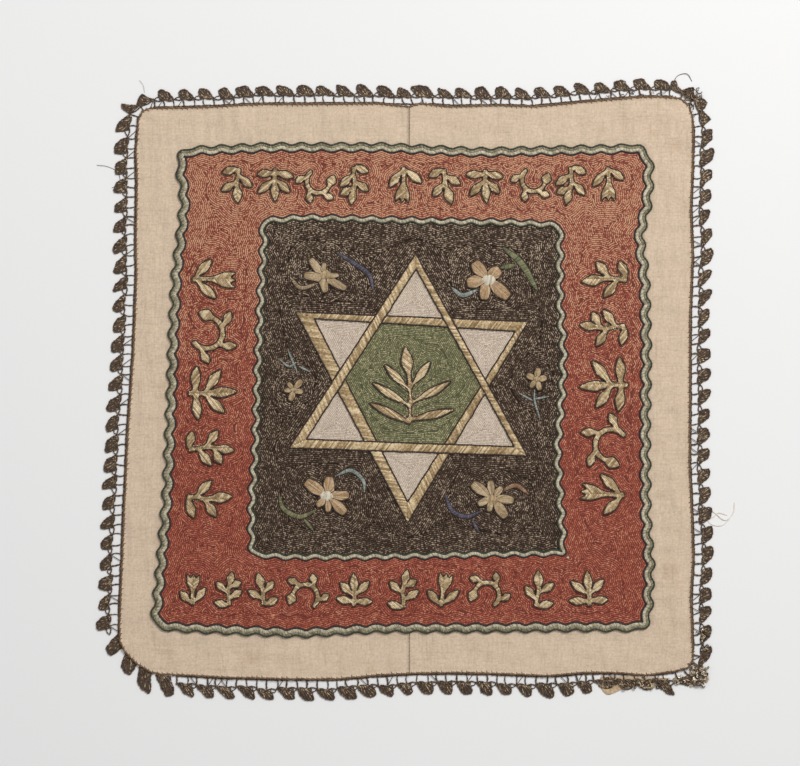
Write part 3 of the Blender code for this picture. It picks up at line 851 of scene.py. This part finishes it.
def longest_side(shape):
    """The direction of a shape's longest side."""
    sides = np.roll(shape, -1, axis=0) - shape
    return unit(sides[np.argmax(np.linalg.norm(sides, axis=1))])


def ring_bars(outer, inner):
    """The three bars of a closed triangular ring, each with its direction."""
    bars = []
    for start, end in zip(outer, np.roll(outer, -1, axis=0)):
        way = unit(end - start)
        far = inner[np.argsort(np.abs((inner - start) @ left_of(way)))][:2]
        far = far[np.argsort((far - start) @ way)]
        bars.append((np.array([start, end, far[1], far[0]]), way))
    return bars


def bent_bars(loop):
    """The two arms of a bent bar of six corners, cut at the bend, each with its direction."""
    thin = [np.linalg.norm(loop[i] - loop[(i + 3) % 6]) for i in range(6)]
    turned = np.roll(loop, -int(np.argmin(thin)), axis=0)
    arms = turned[:4], np.vstack([turned[3:], turned[:1]])
    return [(arm, longest_side(arm)) for arm in arms]


def make_star():
    """Each star bar: satin threads across it, and a dark cord along both edges, also painted shade where
    bars cross.
    """
    gold, dark = Pile(), Pile()
    bars = ring_bars(*outlines("star_up"))
    for node in named("star_down", "star_span"):
        loop = outlines(node)[0]
        bars += [(loop, longest_side(loop))] if len(loop) == 4 else bent_bars(loop)
    for shape, way in bars:
        starts, ends = jagged(*hatched([shape], heading(way) + STAR_SLANT, STAR_PITCH), 0.3)
        stitches(gold, starts, ends, STAR_PITCH * 1.05, STAR_TOP, 0.75)
    # Dark cords round every piece: couched cord, which also paints the shade where the bars cross.
    for node in named("star"):
        for loop in outlines(node):
            line = stepped(wander(stepped(loop, 1.0, closed=True), 0.5, 5.0), 1.1, closed=True)
            cord(dark, line, twisted(0.68, line, 0.2, 2.1), STAR_TOP + 0.1, closed=True, sides=5)
        dye(node, GOLD_BAND)
    gold.mesh("star_threads", GOLD_BAND)
    dark.mesh("star_cords", BROWN_CORD)


GROWTH = {"top": (0, -1), "bottom": (0, 1), "left": (1, 0), "right": (-1, 0), "centre": (0, 1)}
MOTIF_PITCH, MOTIF_SLANT = 1.15, 52


def make_motifs():
    """Herringbone satin threads, which lean out from each motif's middle line, in a dark couched cord."""
    gold, dark = Pile(), Pile()
    for node in named("motif"):
        loop = outlines(node)[0]
        axis = np.array(GROWTH[node.split("_")[1]], float)
        for keep in (1, -1):
            starts, ends = hatched([loop], heading(axis) + MOTIF_SLANT * keep, MOTIF_PITCH)
            starts, ends = split(starts, ends, middle(node), axis, keep)
            stitches(gold, *jagged(starts, ends, 0.2), 1.2, RAISED_TOP, 0.6)
        course = wander(smoothed(loop, 1.15, closed=True), 0.25, 3.5)
        cord(dark, course, twisted(0.62, course, 0.18, 2.2), RAISED_TOP + 0.1, closed=True, sides=5)
        dye(node, GOLD)
    gold.mesh("motif_threads", GOLD)
    dark.mesh("motif_cords", BROWN_CORD)


def rayed(loop, centre, way):
    """How far out a loop lies from a centre in one direction."""
    a = loop - centre
    b = np.roll(a, -1, axis=0)
    side_a, side_b = a @ left_of(way), b @ left_of(way)
    hit = (side_a > 0) != (side_b > 0)
    share = side_a[hit] / (side_a[hit] - side_b[hit])
    reach = (a[hit] + (b[hit] - a[hit]) * share[:, None]) @ way
    return max([far for far in reach if far > 0], default=0.0)


TAN = (FLOWER_TAN, FLOWER_GOLD, "tan_satin_stitch")  # each flower's petals, heart and slot
ORANGE = (FLOWER_ORANGE, HEART_SILK, "orange_satin_stitch")
YELLOW = (FLOWER_GOLD, FLOWER_TAN, "gold_satin_stitch")
FLOWER_SILKS = {"top_left": TAN, "top_right": ORANGE, "bottom_left": ORANGE, "bottom_right": TAN,
                "left": YELLOW, "right": YELLOW}


HEART_SHARE = 0.34  # of a flower's radius


def make_flowers():
    """Satin petals rayed out from an oval heart, with a fine cord round them and between them."""
    dark = Pile()
    for node in named("flower"):
        petals, heart, slot = FLOWER_SILKS[node.removeprefix("flower_")]
        loop = outlines(node)[0]
        centre = middle(node)
        size = np.sqrt(enclosed(loop) / math.pi)
        heart_size = size * HEART_SHARE
        starts, ends = [], []
        for turn in np.linspace(0, 2 * math.pi, round(2 * math.pi * size), endpoint=False):
            way = np.array([math.cos(turn), math.sin(turn)])
            starts.append(centre + way * heart_size * 0.8)
            ends.append(centre + way * max(rayed(loop, centre, way) - 0.2, heart_size))
        pile = Pile()
        stitches(pile, *jagged(np.array(starts), np.array(ends), 0.25), 1.05, RAISED_TOP, 0.55)
        pile.mesh(node + "_petals", petals)
        turns = np.linspace(0, 2 * math.pi, 24, endpoint=False)
        wide, tall = heart_size * 1.15, heart_size * 0.9
        oval = centre + np.stack([np.cos(turns) * wide, np.sin(turns) * tall], axis=1)
        pile = Pile()
        stitches(pile, *hatched([oval], 80, 0.6), 0.7, HEART_TOP, 0.6)
        pile.mesh(node + "_heart", heart)
        course = smoothed(loop, 0.8, closed=True)
        cord(dark, course, 0.5, RAISED_TOP - 0.05, closed=True, sides=5)
        reach = np.linalg.norm(course - centre, axis=1)
        for i, place in enumerate(course):
            near = [reach[(i + k) % len(course)] for k in range(-4, 5)]
            if reach[i] == min(near) and reach[i] > heart_size * 1.2:
                parting = stepped(np.array([centre + (place - centre) * 0.45, place]), 0.8)
                cord(dark, parting, 0.3, HEART_TOP + 0.05, sides=5)
        dye(node, petals)
    dark.mesh("flower_cords", BROWN_CORD)


# Tendrils: a silk, how wide at most, and places along it measured from the cloth's middle.
TENDRILS = [
    (TAN_STEM, 3.4, [(-93, 89), (-85, 81), (-72, 84)]),
    (INDIGO, 3.4, [(-56, 109), (-43, 101), (-30, 91), (-27, 79)]),
    (LEAF_GREEN, 5.2, [(77, 113), (91, 101), (104, 79)]),
    (LEAF_GREEN, 3.8, [(75, 97), (87, 99)]),
    (LIGHT_BLUE, 3.8, [(36, 81), (44, 75), (56, 79)]),
    (LIGHT_BLUE, 3.4, [(-56, -69), (-45, -65), (-35, -73), (-34, -82)]),
    (OLIVE_STEM, 4.0, [(-102, -85), (-99, -95), (-86, -102), (-73, -97)]),
    (OLIVE_STEM, 2.6, [(-82, -104), (-75, -113)]),
    (RUST_STEM, 3.6, [(75, -82), (87, -77), (97, -84)]),
    (INDIGO, 3.4, [(31, -85), (36, -97), (47, -102), (59, -98)]),
    (INDIGO, 2.4, [(52, -104), (57, -114)]),
    (LIGHT_BLUE, 2.0, [(-88, 14), (-95, 31)]),
    (LIGHT_BLUE, 2.0, [(-101, 23), (-94, 18), (-89, 21)]),
    (LIGHT_BLUE, 2.0, [(-86, 18), (-78, 14)]),
    (LIGHT_BLUE, 2.0, [(102, -1), (102, -9), (106, -23)]),
    (LIGHT_BLUE, 2.0, [(91, -4), (100, -9)]),
    (LIGHT_BLUE, 2.0, [(102, -8), (113, -6)]),
]
DESIGN_MIDDLE = np.array([1.2, 0.7])  # the cloth's middle, which isn't quite the frame's
TENDRIL_TOP = 2.85


def make_tendrils():
    """Narrow satin bands, their threads slanted across them, in a fine dark cord."""
    dark = Pile()
    for i, (silk, width, places) in enumerate(TENDRILS):
        line = smoothed(np.array(places, float) + DESIGN_MIDDLE, 0.65)
        ways = directions(line)
        share = np.linspace(0, 1, len(line))
        rounded = np.sqrt(1 - np.abs(2 * share - 1) ** 5)
        half = width / 2 * np.maximum(0.15, rounded * (0.7 + 0.3 * np.sin(math.pi * share)))[:, None]
        left = line + left_of(ways) * half + ways * 0.5
        right = line - left_of(ways) * half - ways * 0.5
        pile = Pile()
        stitches(pile, left, right, 0.8, TENDRIL_TOP, 0.5)
        pile.mesh(f"tendril_{i + 1}", silk)
        rim = np.vstack([left, right[::-1]])
        cord(dark, stepped(rim, 1.0, closed=True), 0.32, TENDRIL_TOP, closed=True, sides=5)
    dark.mesh("tendril_cords", BROWN_CORD)


# ---- the metal lace edging ----

def edging_lines():
    """The cloth's edge beneath the lace, and the lace's outer points: valley, shoulder and tip by turns."""
    loop = outlines("edging")[0]
    ground = np.vstack([stepped(outlines(node)[0], 1.0, closed=True) for node in named("ground")])
    beside = np.linalg.norm(nearest_on(ground, loop) - loop, axis=1) < 1.2
    start = next(i for i in range(len(loop)) if beside[i - 1] and not beside[i])
    turned, beside = np.roll(loop, -start, axis=0), np.roll(beside, -start)
    return turned[beside][::-1], turned[~beside]


LACE_LEVEL = 0.55
RIBS, WIDEST_SHELL, WIDEST_CELLS = 7, 21.0, 30.0
CUT_CORNER = (-185.0, -185.0)  # up to here from the lower left, shells are sewn straight to the cloth


def make_edging():
    """Shells crocheted in metal thread round a ladder of open mesh, sewn to the cloth's edge."""
    inner, outer = edging_lines()
    edge = stepped(inner, 0.5)
    valleys, shoulders, tips = outer[0::3], outer[1::3], outer[2::3]
    roots = nearest_on(edge, valleys)
    ribs, painted_shade_webs, rims, bars = Pile(), Pile(), Pile(), Pile()
    for i, (valley, near) in enumerate(zip(valleys, roots)):
        after = (i + 1) % len(valleys)
        next_valley, beyond = valleys[after], roots[after]
        cut_corner = near[0] < CUT_CORNER[0] and near[1] < CUT_CORNER[1]
        share = 0.15 if cut_corner else uneven.uniform(0.86, 1.08)
        start = near + (valley - near) * share
        end = beyond + (next_valley - beyond) * share
        if np.linalg.norm(next_valley - valley) > WIDEST_SHELL:
            corners = valley, shoulders[i], tips[i], next_valley
            for shell_start, shell_end, places in halves(start, end, *corners):
                make_shell(ribs, painted_shade_webs, rims, shell_start, shell_end, smoothed(places, 1.1))
        else:
            heel = start + (end - start) * uneven.uniform(0.7, 0.86)
            bulge = unit(shoulders[i] - (start + heel) / 2) * uneven.uniform(0.4, 1.4)
            rim = np.array([start, shoulders[i] + bulge, tips[i], tips[i] * 0.3 + heel * 0.7])
            make_shell(ribs, painted_shade_webs, rims, start, heel, smoothed(rim, 1.1))
            if not cut_corner:
                make_picot(rims, rim[-1], end)
        if not cut_corner and np.linalg.norm(beyond - near) < WIDEST_CELLS:
            make_ladder(bars, near, beyond, start, end, i)
    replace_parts(ribs.mesh("lace_shells", LACE), "edging")
    # The web under the ribs is painted shade.
    painted_shade_webs.mesh("lace_shade", LACE_PAINTED_SHADE)
    rims.mesh("lace_rims", LACE_RIM)
    bars.mesh("lace_ladder", LACE_RIM)
    make_overcast(edge)


def make_picot(rims, heel, after):
    """The open loop of thread from one shell's heel to the start of the next."""
    outward = -left_of(unit(after - heel))
    line = smoothed(np.array([heel, (heel + after) / 2 + outward * uneven.uniform(0.2, 1.2), after]), 1.0)
    cord(rims, line, twisted(0.42, line, 0.3, 2.2), LACE_LEVEL + 0.2, sides=5)


def halves(start, end, valley, shoulder, tip, ending):
    """A wide corner shell as two shells, with a notch between them."""
    base = (valley + ending) / 2
    outward = unit(tip - base)
    depth = (tip - base) @ outward
    notch = base + outward * depth * 0.3
    middle_foot = (start + end) / 2 + outward * depth * 0.1
    first = np.array([valley, (valley + shoulder) / 2 + outward * 2.0, shoulder, notch])
    second = np.array([notch, (notch + tip) / 2 + outward * 4.0, tip,
                       (tip + ending) / 2 + outward * 2.5, ending])
    return [(start, middle_foot, first), (middle_foot, end, second)]


def make_shell(ribs, painted_shade_webs, rims, start, end, rim):
    """One leaning shell: ribs rayed out to its rim, over a thin dark web that is painted shade between the
    ribs.
    """
    level = LACE_LEVEL + uneven.uniform(-0.1, 0.25)
    root = start + (end - start) * 0.3
    rim = wander(rim, 1.0, 4.0, level)
    foot = np.linspace(start, end, len(rim))
    painted_shade_web = np.empty((len(rim), 3, 3))
    for column, share in enumerate((0.0, 0.5, 1.0)):
        painted_shade_web[:, column, :2] = foot + (rim - foot) * share
        painted_shade_web[:, column, 2] = level - 0.15 + 0.35 * math.sin(math.pi * share)
    painted_shade_webs.sheets(painted_shade_web)
    for k in range(RIBS + 1):
        i = round(k * (len(rim) - 1) / RIBS)
        begin = root + (foot[i] - root) * 0.4
        place = rim[i] + (begin - rim[i]) * 0.08
        bow = left_of(unit(place - begin)) * (1.2 * (k / RIBS - 0.5) + uneven.uniform(-0.3, 0.3))
        line = smoothed(np.array([begin, (begin + place) / 2 + bow, place]), 1.2)
        radii = 0.46 + 0.2 * np.sin(np.arange(len(line)) * 2.1 + k)
        tones = np.array([uneven.random() for _ in line])
        cord(ribs, line, radii, level + 0.25, sides=5, tones=tones)
    swell = 0.55 + 0.2 * np.sin(np.arange(len(rim)) * 2.6)
    cord(rims, rim, swell, level + 0.15, sides=6)


def make_ladder(bars, near, beyond, start, end, i):
    """Two open cells of the mesh between the cloth's edge and the shells, a little crooked."""
    along = unit(beyond - near)
    for share in (0.0, 0.5):
        foot = near + (beyond - near) * share + along * uneven.uniform(-0.9, 0.9)
        head = start + (end - start) * (share + 0.04) + along * uneven.uniform(-0.9, 0.9)
        bow = along * uneven.uniform(-1.0, 1.0)
        line = smoothed(np.array([foot, (foot + head) / 2 + bow, head]), 1.0)
        radius = uneven.uniform(0.42, 0.7)
        cord(bars, line, twisted(radius, line, 0.25, 2.0), LACE_LEVEL + 0.2, sides=5)
        if uneven.random() < 0.3:
            other = near + (beyond - near) * (share + uneven.choice((-0.35, 0.35)))
            cord(bars, stepped(np.array([other, head]), 1.5), 0.3, LACE_LEVEL + 0.5, sides=5)
    swing = unit(near - start) * 0.9
    sag = ((0, 0), (0.25, 1), (0.5, -0.3), (0.75, 1), (1, 0))
    chain = smoothed(np.array([start + (end - start) * share + swing * side for share, side in sag]), 1.0)
    cord(bars, chain, twisted(0.5, chain, 0.28, 2.6), LACE_LEVEL + 0.3)
    sewn = np.array([near + (start - near) * 0.1, beyond + (end - beyond) * 0.1])
    line = wander(stepped(sewn, 1.2), 0.5, 2.0, i + 0.5)
    cord(bars, line, twisted(0.45, line, 0.3, 2.6), LACE_LEVEL + 0.3)


def make_overcast(edge):
    """Thread wound over the cloth's edge, which holds the lace on."""
    pile = Pile()
    line = stepped(edge, 1.0)
    outward = -left_of(directions(line))
    course = wander(line - outward * 0.6, 0.4, 4.0)
    levels = np.array([FLAT_TOP + 0.25 + lift(x, y) for x, y in course])
    cord(pile, course, twisted(0.7, course, 0.35, 1.57), levels)
    for i in range(0, len(line) - 2, 4):
        a = line[i] - outward[i] * uneven.uniform(1.6, 2.8)
        b = line[i + 1] + outward[i] * uneven.uniform(0.6, 1.6)
        top = FLAT_TOP + lift(*a)
        cord(pile, np.array([a, (a + b) / 2, b]), [0.22, 0.34, 0.26], [top, top + 0.7, 0.9], sides=5)
    pile.mesh("edge_overcast", OVERCAST)


def tangle(pile, low, high, count, size, radius, level):
    """Crumpled loops of thread, scattered over a rectangle."""
    for i in range(count):
        centre = np.array([uneven.uniform(low[0], high[0]), uneven.uniform(low[1], high[1])])
        turns = np.linspace(0, math.radians(uneven.uniform(160, 330)), 12) + uneven.uniform(0, 6.3)
        wide, tall = uneven.uniform(0.5, 1) * size, uneven.uniform(0.4, 0.9) * size
        arc = centre + np.stack([np.cos(turns) * wide, np.sin(turns) * tall], axis=1)
        line = wander(stepped(arc, 0.9), 0.8, 2.5, i)
        levels = level + uneven.uniform(0, 1.4) + 0.6 * np.sin(np.arange(len(line)) * 0.7)
        thick = radius * uneven.uniform(0.7, 1.2)
        cord(pile, line, twisted(thick, line, 0.25, 2.2), levels, sides=5, tones=uneven.random())


def make_tangles():
    """The lace crushed at the lower right and by the lining scrap, frayed at the upper right, with painted
    glints.
    """
    dull, fine, painted_glints = Pile(), Pile(), Pile()
    tangle(dull, (226, -236), (241, -220), 30, 2.6, 0.75, 0.9)
    tangle(dull, (172, -238), (206, -232), 34, 2.4, 0.7, 0.9)
    tangle(dull, (160, -236), (171, -231), 8, 2.2, 0.6, 0.8)
    tangle(dull, (208, -236), (224, -230), 10, 2.4, 0.5, 0.8)
    tangle(dull, (234, -214), (242, -192), 14, 2.0, 0.5, 0.8)
    tangle(dull, (224, 228), (236, 238), 14, 2.4, 0.45, 0.8)
    tangle(fine, (222, 226), (235, 240), 18, 2.8, 0.35, 0.7)
    tangle(fine, (150, 233), (214, 239), 14, 2.2, 0.3, 0.7)
    # Loops in near-white: painted glints on the crushed metal thread.
    tangle(painted_glints, (227, -235), (240, -222), 14, 1.4, 0.5, 2.2)
    tangle(painted_glints, (216, -235), (224, -229), 4, 1.2, 0.45, 1.6)
    tangle(painted_glints, (235, -212), (241, -190), 4, 1.1, 0.4, 1.4)
    dull.mesh("lace_crush", LACE)
    fine.mesh("lace_fray", LACE_RIM)
    painted_glints.mesh("lace_glints", LACE_PAINTED_GLINTS)


# Stray threads: a yarn, how thick, and places along it measured from the cloth's middle.
STRAYS = [
    (LACE_RIM, 0.17, [(-248, 179), (-240, 178), (-231, 173), (-229, 165)]),
    (LACE_RIM, 0.17, [(-236, 161), (-229, 163), (-222, 162)]),
    (LACE_RIM, 0.1, [(-214, 247), (-211, 243), (-210, 237)]),
    (FRAY, 0.3, [(236, -92), (246, -99), (255, -105), (261, -99), (262, -91)]),
    (FRAY, 0.25, [(236, -95), (244, -103), (249, -99), (256, -101)]),
    (FRAY, 0.22, [(237, -98), (243, -108), (252, -109), (258, -104)]),
    (LACE_RIM, 0.25, [(163, 238), (168, 245), (175, 246), (172, 240), (165, 240)]),
    (LACE_RIM, 0.25, [(150, 236), (155, 244), (161, 241)]),
    (LACE_RIM, 0.25, [(212, 240), (216, 250), (224, 252), (228, 246)]),
]


def make_strays():
    """Loose thread ends that lie out beyond the lace."""
    for i, (yarn, radius, places) in enumerate(STRAYS):
        line = smoothed(np.array(places, float) + DESIGN_MIDDLE, 1.2)
        pile = Pile()
        cord(pile, line, radius, 0.5 + 0.25 * np.sin(np.arange(len(line)) * 0.5), sides=5)
        pile.mesh(f"stray_thread_{i + 1}", yarn)


# ---- light, floor and camera ----

CAMERA_HEIGHT, LENS = 2.4, 135.0
VIEW_MIDDLE = (-0.00437, 0.00549)


def make_floor():
    bpy.ops.mesh.primitive_plane_add(size=8, location=(0, 0, 0))
    floor = bpy.context.object
    floor.name = "floor"
    make = Maker("floor_paper", 0.9, specular=0.1)
    colour = make.ramp(make.noise(900, 1.0), [(0.3, (228, 228, 228)), (0.7, (231, 231, 231))])
    floor.data.materials.append(make.done(colour))


def add_light(name, place, size, power, colour):
    data = bpy.data.lights.new(name, "AREA")
    data.shape = "DISK"
    data.size = size
    data.energy = power
    data.color = colour
    lamp = bpy.data.objects.new(name, data)
    lamp.location = place
    lamp.rotation_euler = (-Vector(place)).to_track_quat("-Z", "Y").to_euler()
    bpy.context.scene.collection.objects.link(lamp)


def make_lights():
    world = bpy.data.worlds.new("studio")
    world.use_nodes = True
    sky = world.node_tree.nodes["Background"]
    sky.inputs["Color"].default_value = (1.0, 1.0, 1.0, 1.0)
    sky.inputs["Strength"].default_value = 0.435
    bpy.context.scene.world = world
    add_light("key", (1.0, 1.35, 2.0), 1.0, 51, (1.0, 0.99, 0.98))
    add_light("fill", (-1.6, 0.2, 2.2), 1.8, 7, (1.0, 1.0, 1.0))
    bpy.context.scene.view_settings.view_transform = "Standard"


def make_camera():
    data = bpy.data.cameras.new("camera")
    data.lens = LENS
    data.clip_end = 20
    camera = bpy.data.objects.new("camera", data)
    camera.location = (VIEW_MIDDLE[0], VIEW_MIDDLE[1], CAMERA_HEIGHT)
    bpy.context.scene.collection.objects.link(camera)
    bpy.context.scene.camera = camera


make_ground()
make_lining()
make_fields()
make_borders()
make_star()
make_motifs()
make_flowers()
make_tendrils()
make_edging()
make_tangles()
make_strays()
make_floor()
make_lights()
make_camera()
